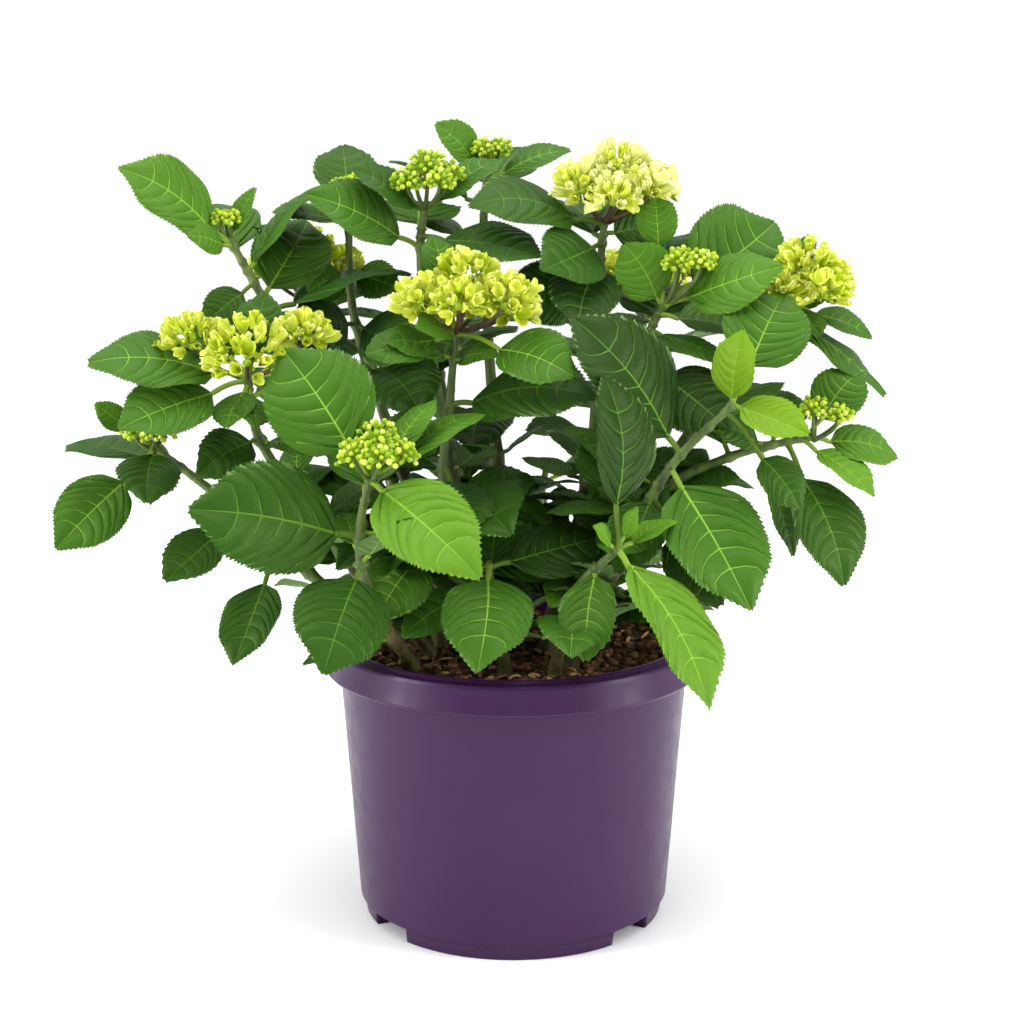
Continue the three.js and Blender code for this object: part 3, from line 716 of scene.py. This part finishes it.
def pair_rows(shoot):
    """Pairs of opposite leaves down the upper cane, each pair a quarter turn from the last."""
    count, first = shoot["behind"]
    top = shoot["stem"][3][2]
    rows = []
    for pair in range(count):
        for side in range(2):
            turn = first + 90 * pair + 180 * side
            if not shoot["leaves"] or math.sin(math.radians(turn)) > 0.2:
                wave = math.sin(2.4 * pair + 1.9 * side + first)
                tone = ("mid", "dark", "dark", "mid")[(pair * 2 + side + first) % 4]
                rows.append((
                    top - FIRST_PAIR - PAIR_STEP * pair, turn, 12 + 12 * wave,
                    84 + 10 * pair - 8 * wave, 0, STALK, tone,
                ))
    return rows


def close_by(row, other):
    """Whether two leaves start near each other and point much the same way."""
    turn = (row[1] - other[1] + 180) % 360 - 180
    return abs(row[0] - other[0]) < CLOSE_HEIGHT and abs(turn) < CLOSE_TURN


def inner_rows(shoot, draw):
    """Smaller leaves low inside the plant, in opposite pairs that turn by a quarter each time."""
    rows = []
    top = min(shoot["stem"][3][2] - 34, INNER_HIGHEST)
    height = INNER_LOWEST
    turn = draw.uniform(0, 360)
    while height < top:
        for side in range(2):
            row = (
                height, turn + 180 * side + draw.uniform(-18, 18), draw.uniform(-12, 38),
                draw.uniform(*INNER_REACH), draw.uniform(-30, 30), draw.uniform(8, 18),
                draw.choice(("dark", "mid", "dark", "mid", "fresh")),
            )
            if not any(close_by(row, other) for other in shoot["leaves"]):
                rows.append(row)
        height += draw.uniform(13, 21)
        turn += 90
    return rows


def add_leaf(piece, cane, row, draw):
    height, turn, rise, reach, roll, stalk, tone, broad, fold = (*row, *ORDINARY[len(row) - 7:])
    node = cane.at(cane.share(height)) * MM
    along = heading(turn, rise)
    base = node + along * stalk * MM
    level = unit(np.array([0, 0, 1.0]) - along * along[2])
    side = np.cross(along, level)
    angle = math.radians(roll)
    face = level * math.cos(angle) + side * math.sin(angle)
    blade = Blade(base, along, face, (reach - stalk) * MM, broad, fold, draw)
    blade_mesh(piece, blade, tone)
    stalk_mesh(piece, node, base, blade, tone)


def stalk_mesh(piece, node, base, blade, tone):
    """The leaf stalk, from the cane into the midrib."""
    inside = blade.at(np.array([0.03]), np.array([0.0]), -0.0005)[0]
    share = np.linspace(0, 1, 8)[:, None]
    route = node * (1 - share) + inside * share
    route[:, 2] += 0.08 * np.linalg.norm(base - node) * np.sin(math.pi * share[:, 0])
    thick = 0.0011 + 0.008 * blade.length
    radii = thick * np.array([1.5, 1.15, 1, 1, 1, 1, 1, 0.75])
    points, faces = tube(route, radii, 7)
    piece.add(points, faces, STALKS["shade" if tone in ("deep", "dark") else "green"])


# ---- flower heads --------------------------------------------------------------------------
def cluster_places(shoot, cane, draw):
    """The cane's top, and the middle and radius of each cluster of the head."""
    kind, dx, dy, dz, spread, radius, count = shoot["head"][:7]
    top = cane.at(1)
    middle = top + np.array([dx, dy, dz])
    places = []
    for index in range(count):
        place = middle.copy()
        size = radius * draw.uniform(0.9, 1.12)
        if kind == "open" and count == 3:
            place += np.array([(-spread, 2, 1), (0, -10, -6), (spread, 4, 5)][index])
            size *= (0.95, 1.3, 0.95)[index]
        else:
            inner = count > 4 and index == 0
            ring = count - 1 if count > 4 else count
            angle = 2 * math.pi * (index + 0.35) / ring
            if not inner:
                place[0] -= spread * math.cos(angle)
                place[1] -= spread * math.sin(angle)
            place[2] += radius * (0.6 if inner else draw.uniform(-0.4, 0.05))
            size *= 1.15 if inner else 1
        places.append((place, size))
    return top, places


SEPAL_ROWS = (0, 0.25, 0.5, 0.74, 0.91, 1)
SEPAL_BREADTHS = (0.42, 0.72, 0.96, 1, 0.8, 0.34)  # share of its full width at each row


def sepal(piece, foot, axis, outward, length, width, cup, shades):
    """A cupped, blunt petal: a small spoon of quads, paler towards its tip."""
    across = unit(np.cross(axis, outward))
    rows, columns = len(SEPAL_ROWS), 5
    u = np.array(SEPAL_ROWS)[:, None]
    v = np.linspace(-1, 1, columns)[None, :]
    half = 0.5 * width * np.array(SEPAL_BREADTHS)[:, None]
    lift = cup * width * v ** 2 * np.sin(math.pi * (0.15 + 0.75 * u)) + 0.12 * length * u ** 2
    inward = unit(np.cross(across, outward))
    if np.dot(inward, axis) < 0:
        inward = -inward
    points = (
        foot + (length * u)[..., None] * outward + (half * v)[..., None] * across
        + (lift * np.ones_like(v))[..., None] * inward
    )
    faces = grid_faces(rows, columns).reshape(rows - 1, columns - 1, 4)
    middle = np.zeros((rows - 1, columns - 1), bool)
    middle[1:4] = True
    piece.add(points, faces.reshape(-1, 4), shades[0], middle.ravel(), shades[1])
    tip = np.arange(len(piece.kinds[-1])) >= (rows - 2) * (columns - 1)
    piece.kinds[-1][tip] = piece.slot_of(shades[2])


def ball(level):
    """The points and faces of a unit ball of triangles."""
    made = bmesh.new()
    bmesh.ops.create_icosphere(made, subdivisions=level, radius=1)
    points = np.array([vertex.co[:] for vertex in made.verts])
    faces = np.array([[vertex.index for vertex in face.verts] for face in made.faces])
    made.free()
    return points, faces


BEAD = ball(2)
CRUMB = ball(1)
GOLDEN_ANGLE = 2.39996


def bead(piece, centre, radius, axis, stretch, material, shape=BEAD):
    points, faces = shape
    along = np.outer(points @ axis, axis)
    piece.add(centre + radius * (points + (stretch - 1) * along), faces, material)


def dome_directions(count, cover, draw):
    """Directions spread evenly over a ball, from its top down, by the golden angle."""
    directions = []
    for index in range(count):
        up = 1 - cover * (index + 0.5) / count
        across = math.sqrt(max(0.0, 1 - up * up))
        angle = GOLDEN_ANGLE * index + draw.uniform(-0.15, 0.15)
        directions.append(np.array([across * math.cos(angle), across * math.sin(angle), up]))
    return directions


FLORETS_A_MM = 1.7  # florets in a cluster, for each millimetre of its radius
FLORET_DEPTHS = (0.007, 0.0105)  # from a cluster's surface in to the foot of a floret
SEPAL_LENGTHS = (0.0085, 0.0125)
OPENINGS = (8, 36)  # degrees between a sepal and the middle of its floret
SMALL_BUDS = 13  # between the florets
SMALL_BUD_SIZES = (0.0011, 0.0017)
CORE_RADIUS = 0.0028
FLATTENED = np.array([1, 1, 0.85])
BUDS_A_MM = 3.9  # buds in a tight head, for each millimetre of its radius
BUD_SIZES = (0.0012, 0.0018)
BUD_REACH = (0.66, 1.08)  # share of the radius at which a bud sits


def open_cluster(piece, centre, radius, draw, florets):
    """Young florets, each with three or four cupped sepals, with small buds between them."""
    count = int(FLORETS_A_MM * radius / MM)
    for direction in dome_directions(count, 1.62, draw):
        foot = centre + direction * (radius - draw.uniform(*FLORET_DEPTHS)) * FLATTENED
        axis = unit(direction + np.array([0, 0, 0.5]))
        side = unit(np.cross(axis, (0.2, 0.9, 0.1)))
        other = np.cross(axis, side)
        shades = draw.choice(florets)
        size = draw.uniform(*SEPAL_LENGTHS)
        opening = math.radians(draw.uniform(*OPENINGS))
        start = draw.uniform(0, 6.28)
        petals = draw.choice((3, 4, 4))
        for step in range(petals):
            angle = start + 2 * math.pi * step / petals
            radial = math.cos(angle) * side + math.sin(angle) * other
            spread = opening + draw.uniform(-0.15, 0.15)
            outward = unit(axis * math.cos(spread) + radial * math.sin(spread))
            width = size * draw.uniform(0.45, 0.6)
            sepal(piece, foot, axis, outward, size * draw.uniform(0.85, 1.1), width, 0.42, shades)
        bead(piece, foot + axis * 0.1 * size, 0.12 * size, axis, 1.2, BEADS[1], CRUMB)
    for direction in dome_directions(SMALL_BUDS, 1.3, draw):
        place = centre + direction * radius * draw.uniform(0.55, 0.9) * FLATTENED
        size = draw.uniform(*SMALL_BUD_SIZES)
        bead(piece, place, size, direction, 1.7, draw.choice(PETALS[:3]), CRUMB)
    bead(piece, centre - np.array([0, 0, 0.1 * radius]), CORE_RADIUS, np.array([0, 0, 1.0]), 0.8, BEADS[0])


def bud_cluster(piece, centre, radius, draw):
    """A tight, uneven dome of bead-like buds on short stalks."""
    for direction in dome_directions(int(BUDS_A_MM * radius / MM), 1.4, draw):
        size = draw.uniform(*BUD_SIZES)
        place = centre + direction * radius * draw.uniform(*BUD_REACH) * np.array([1, 1, 0.95])
        shade = BEADS[draw.choice((0, 0, 1, 1, 2))]
        bead(piece, place, size, direction, 1.12, shade)
        points, faces = tube([centre, (centre + place) / 2, place], [0.0006, 0.0004, 0.0004], 5)
        piece.add(points, faces, BEADS[0])


def head_piece(name, shoot, draw):
    kind = shoot["head"][0]
    cane = Cane(shoot["stem"])
    top, places = cluster_places(shoot, cane, draw)
    node = f"{'bloom' if kind == 'open' else 'buds'}_{name}"
    slot = "blossom" if kind == "open" else "flower_buds"
    piece = Piece(f"florets_{name}" if kind == "open" else f"flowerbuds_{name}", slot, node)
    start = top - np.array([0, 0, 3])
    florets = FLORET_SHADES[3:] if "pale" in shoot["head"] else FLORET_SHADES[:4]
    for place, radius in places:
        centre = place * MM
        if kind == "open":
            open_cluster(piece, centre, radius * MM, draw, florets)
        else:
            bud_cluster(piece, centre, radius * MM, draw)
        foot = start * MM
        bow = np.array([(centre[0] - foot[0]) * 0.25, (centre[1] - foot[1]) * 0.25, 0])
        share = np.linspace(0, 1, 8)[:, None]
        route = foot * (1 - share) + centre * share + bow * np.sin(math.pi * share)
        points, faces = tube(route, np.linspace(1.5, 1.0, 8) * MM, 8)
        piece.add(points, faces, TWIG_DARK if kind == "open" else CANE)
    return piece.make()


# ---- pot -----------------------------------------------------------------------------------
POT_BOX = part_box("pot")
POT_HEIGHT = POT_BOX[1][2]
POT_SIDES = 180
RIM_BAND = 18.5
LUG_RADIUS = 92
NOTCH_WIDTH = 33
NOTCH_ANGLES = (-54, 50, 126, 230)
NOTCH_EDGE = 0.004  # radians taken by the side wall of a notch


def rounded(profile, fillets):
    """A profile in the radius and height plane with its corners rounded."""
    out = []
    for index, point in enumerate(profile):
        point = np.array(point, float)
        size = fillets.get(index, 0)
        if size == 0:
            out.append(point)
            continue
        before = np.array(profile[index - 1], float)
        after = np.array(profile[index + 1], float)
        start = point + unit(before - point) * size
        end = point + unit(after - point) * size
        for share in np.linspace(0, 1, 6):
            out.append((1 - share) ** 2 * start + 2 * share * (1 - share) * point + share ** 2 * end)
    return np.array(out)


def pot_profile(height, lug):
    """The pot's wall, from under the foot, up outside and down inside, in radius and height."""
    ledge = height - RIM_BAND
    if lug:
        foot = [(0, 8.2), (83, 8.2), (86, 7.4), (86.6, 0.0), (94.6, 0.0), (95.6, 9.4)]
    else:
        foot = [(0, 8.2), (83, 8.2), (86, 8.6), (88, 9.0), (92, 9.2), (95.6, 9.4)]
    wall = [
        (98.2, 10.6), (108.7, ledge - 6), (109.6, ledge - 1.4), (117.0, ledge - 0.8),
        (118.9, ledge + 1.4), (117.4, ledge + 8), (116.5, height - 2.4), (115.6, height - 0.5),
        (112.4, height + 0.1), (110.2, height + 1.9), (107, height + 1.2), (106.8, ledge - 4),
        (96.4, 16), (84, 13), (0, 13),
    ]
    fillets = {
        3: 0.5, 4: 0.9, 6: 0.7, 8: 0.9, 9: 0.8, 10: 0.6,
        12: 0.8, 13: 0.7, 14: 0.6, 15: 0.8, 16: 0.9,
    }
    return rounded(foot + wall, fillets) * MM


def pot_piece():
    """The moulded pot: body, ledge, rim band, lip, and the lugs it stands on."""
    gap = math.asin(NOTCH_WIDTH / 2 / LUG_RADIUS)
    stops = []
    for middle in NOTCH_ANGLES:
        middle = math.radians(middle) % (2 * math.pi)
        stops += [middle - gap, middle - gap + NOTCH_EDGE, middle + gap - NOTCH_EDGE, middle + gap]
    plain = np.linspace(0, 2 * math.pi, POT_SIDES, endpoint=False)
    angles = np.array(sorted([*plain, *(angle % (2 * math.pi) for angle in stops)]))
    lug = pot_profile(POT_HEIGHT / MM, True)
    notch = pot_profile(POT_HEIGHT / MM, False)
    middles = np.radians(NOTCH_ANGLES)[:, None]
    away = np.abs((angles[None, :] - middles + math.pi) % (2 * math.pi) - math.pi).min(axis=0)
    inside = away < gap - NOTCH_EDGE / 2
    radius = np.where(inside[None, :], notch[:, :1], lug[:, :1])
    level = np.where(inside[None, :], notch[:, 1:], lug[:, 1:])
    points = np.stack([radius * np.sin(angles), -radius * np.cos(angles), level], axis=-1)
    piece = Piece("pot_shell", "pot", "pot")
    piece.add(points, grid_faces(len(lug), len(angles), closed=True), POT)
    return piece.make()


# ---- soil ----------------------------------------------------------------------------------
SOIL_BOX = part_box("soil")
SOIL_RADIUS = 0.1055
SOIL_LEVEL = SOIL_BOX[1][2]
SOIL_RINGS = 44
SOIL_SIDES = 110
CRUMBS = 2600
CRUMB_SIZES = (0.0009, 0.0033)
CHIPS = 120
CHIP_LENGTHS = (0.004, 0.012)


def soil_height(x, y):
    wide = noise.noise(Vector((x * 22, y * 22, 0.3)))
    fine = noise.noise(Vector((x * 120, y * 120, 4.1)))
    return SOIL_LEVEL - 0.002 + 0.0028 * wide + 0.0014 * fine


def spot_on_soil(reach, draw):
    """A place on the soil, no further out than this share of its radius."""
    radius = SOIL_RADIUS * reach * math.sqrt(draw.random())
    angle = draw.uniform(0, 2 * math.pi)
    return radius * math.cos(angle), radius * math.sin(angle)


def soil_piece(draw):
    peat = plain_rough("peat", linear(70, 48, 34), 0.95, 260, 0.004)
    crumbs = [
        plain_rough("crumb_dark", linear(58, 40, 28), 0.95, 700, 0.001),
        plain_rough("crumb_brown", linear(98, 68, 46), 0.95, 700, 0.001),
        plain_rough("crumb_rust", linear(134, 96, 62), 0.9, 700, 0.001),
    ]
    bark = [
        plain_rough("bark_pale", linear(196, 160, 112), 0.85, 900, 0.0006),
        plain_rough("bark_brown", linear(140, 100, 64), 0.85, 900, 0.0006),
    ]
    piece = Piece("soil_surface", "soil", "soil")
    points = []
    for ring in range(SOIL_RINGS):
        radius = SOIL_RADIUS * ring / (SOIL_RINGS - 1)
        for side in range(SOIL_SIDES):
            angle = 2 * math.pi * side / SOIL_SIDES
            x, y = radius * math.cos(angle), radius * math.sin(angle)
            points.append((x, y, soil_height(x, y)))
    piece.add(points, grid_faces(SOIL_RINGS, SOIL_SIDES, closed=True), peat)
    for _ in range(CRUMBS):
        x, y = spot_on_soil(0.985, draw)
        size = draw.uniform(*CRUMB_SIZES)
        crumb(piece, np.array([x, y, soil_height(x, y) + size * 0.3]), size, draw, draw.choice(crumbs))
    for _ in range(CHIPS):
        x, y = spot_on_soil(0.95, draw)
        chip(piece, np.array([x, y, soil_height(x, y) + 0.0014]), draw, draw.choice(bark))
    return piece.make()


def crumb(piece, centre, size, draw, material):
    points, faces = CRUMB
    squash = np.array([draw.uniform(0.7, 1.3), draw.uniform(0.7, 1.3), draw.uniform(0.5, 0.9)])
    lumps = np.array([noise.noise(Vector(point * 1.7 + centre * 900)) for point in points])
    piece.add(centre + points * squash * size * (1 + 0.5 * lumps[:, None]), faces, material)


def chip(piece, centre, draw, material):
    """A splinter of bark: a bent, tapering sliver."""
    length = draw.uniform(*CHIP_LENGTHS)
    turn = draw.uniform(0, 2 * math.pi)
    along = np.array([math.cos(turn), math.sin(turn), draw.uniform(-0.12, 0.2)])
    share = np.linspace(-0.5, 0.5, 6)[:, None]
    bow = np.array([0, 0, draw.uniform(0, 0.12) * length])
    route = centre + along * length * share + bow * (1 - (2 * share) ** 2)
    radii = draw.uniform(0.0007, 0.0015) * np.array([0.3, 0.9, 1, 1, 0.8, 0.25])
    points, faces = tube(route, radii, 5)
    piece.add(points, faces, material)


# ---- the plant -----------------------------------------------------------------------------
def build_plant():
    draw = random.Random(SEED)
    for name, shoot in SHOOTS.items():
        cane = Cane(shoot["stem"])
        rows = [*shoot["leaves"], *pair_rows(shoot), *inner_rows(shoot, draw)]
        cane_piece(name, shoot, rows, draw)
        piece = Piece(f"foliage_{name}", "leaves", f"leaves_{name}")
        for row in rows:
            add_leaf(piece, cane, row, draw)
        piece.make()
        if shoot["head"]:
            head_piece(name, shoot, draw)


# ---- studio --------------------------------------------------------------------------------
SKY_STRENGTH = 1.7
SKY = ((0, 0.6), (0.06, 0.6), (0.16, 0.22), (0.5, 0.3), (0.85, 0.9), (1, 1))  # height and light
FLOOR_REACH = 9
PLANT_MIDDLE = (0, 0, 0.28)
CAMERA_PLACE = (-0.0009, -1.2047, 0.506)
CAMERA_TILT = 78.28
LENS = 69.5


def softbox(name, place, width, height, power):
    """A rectangular lamp that faces the middle of the plant."""
    light = bpy.data.lights.new(name, "AREA")
    light.shape = "RECTANGLE"
    light.size = width
    light.size_y = height
    light.energy = power
    made = bpy.data.objects.new(name, light)
    made.location = place
    made.rotation_euler = (Vector(PLANT_MIDDLE) - Vector(place)).to_track_quat("-Z", "Y").to_euler()
    bpy.context.scene.collection.objects.link(made)


def build_studio():
    mesh = bpy.data.meshes.new("floor")
    corners = [(x * FLOOR_REACH, y * FLOOR_REACH, 0) for x, y in ((-1, -1), (1, -1), (1, 1), (-1, 1))]
    mesh.from_pydata(corners, [], [(0, 1, 2, 3)])
    floor = bpy.data.objects.new("floor", mesh)
    shader = Shader("floor_white", (0.95, 0.95, 0.95, 1), 0.8, 0.1)
    mesh.materials.append(shader.material)
    bpy.context.scene.collection.objects.link(floor)
    build_sky()
    softbox("softbox_left", (-1.55, -0.62, 0.7), 0.5, 1.2, 23)
    softbox("softbox_right", (1.55, -0.62, 0.7), 0.5, 1.2, 21)
    softbox("softbox_top", (0, -0.3, 2.1), 2.2, 1.8, 26)


def build_sky():
    """A round white studio: bright overhead and along the horizon, dimmer in between."""
    world = bpy.data.worlds.new("studio")
    bpy.context.scene.world = world
    world.use_nodes = True
    nodes, links = world.node_tree.nodes, world.node_tree.links
    place = nodes.new("ShaderNodeTexCoord")
    split = nodes.new("ShaderNodeSeparateXYZ")
    ramp = nodes.new("ShaderNodeValToRGB")
    links.new(place.outputs["Generated"], split.inputs["Vector"])
    links.new(split.outputs["Z"], ramp.inputs["Fac"])
    links.new(ramp.outputs["Color"], nodes["Background"].inputs["Color"])
    for _ in SKY[2:]:
        ramp.color_ramp.elements.new(0.5)
    for element, (height, light) in zip(ramp.color_ramp.elements, SKY):
        element.position = height
        element.color = (light, light, light, 1)
    nodes["Background"].inputs["Strength"].default_value = SKY_STRENGTH


def build_camera():
    lens = bpy.data.cameras.new("camera")
    lens.lens = LENS
    lens.sensor_width = 36
    camera = bpy.data.objects.new("camera", lens)
    camera.location = CAMERA_PLACE
    camera.rotation_euler = (math.radians(CAMERA_TILT), 0, 0)
    bpy.context.scene.collection.objects.link(camera)
    bpy.context.scene.camera = camera


pot_piece()
soil_piece(random.Random(SEED + 1))
build_plant()
build_studio()
build_camera()
bpy.context.scene.view_settings.view_transform = "Standard"
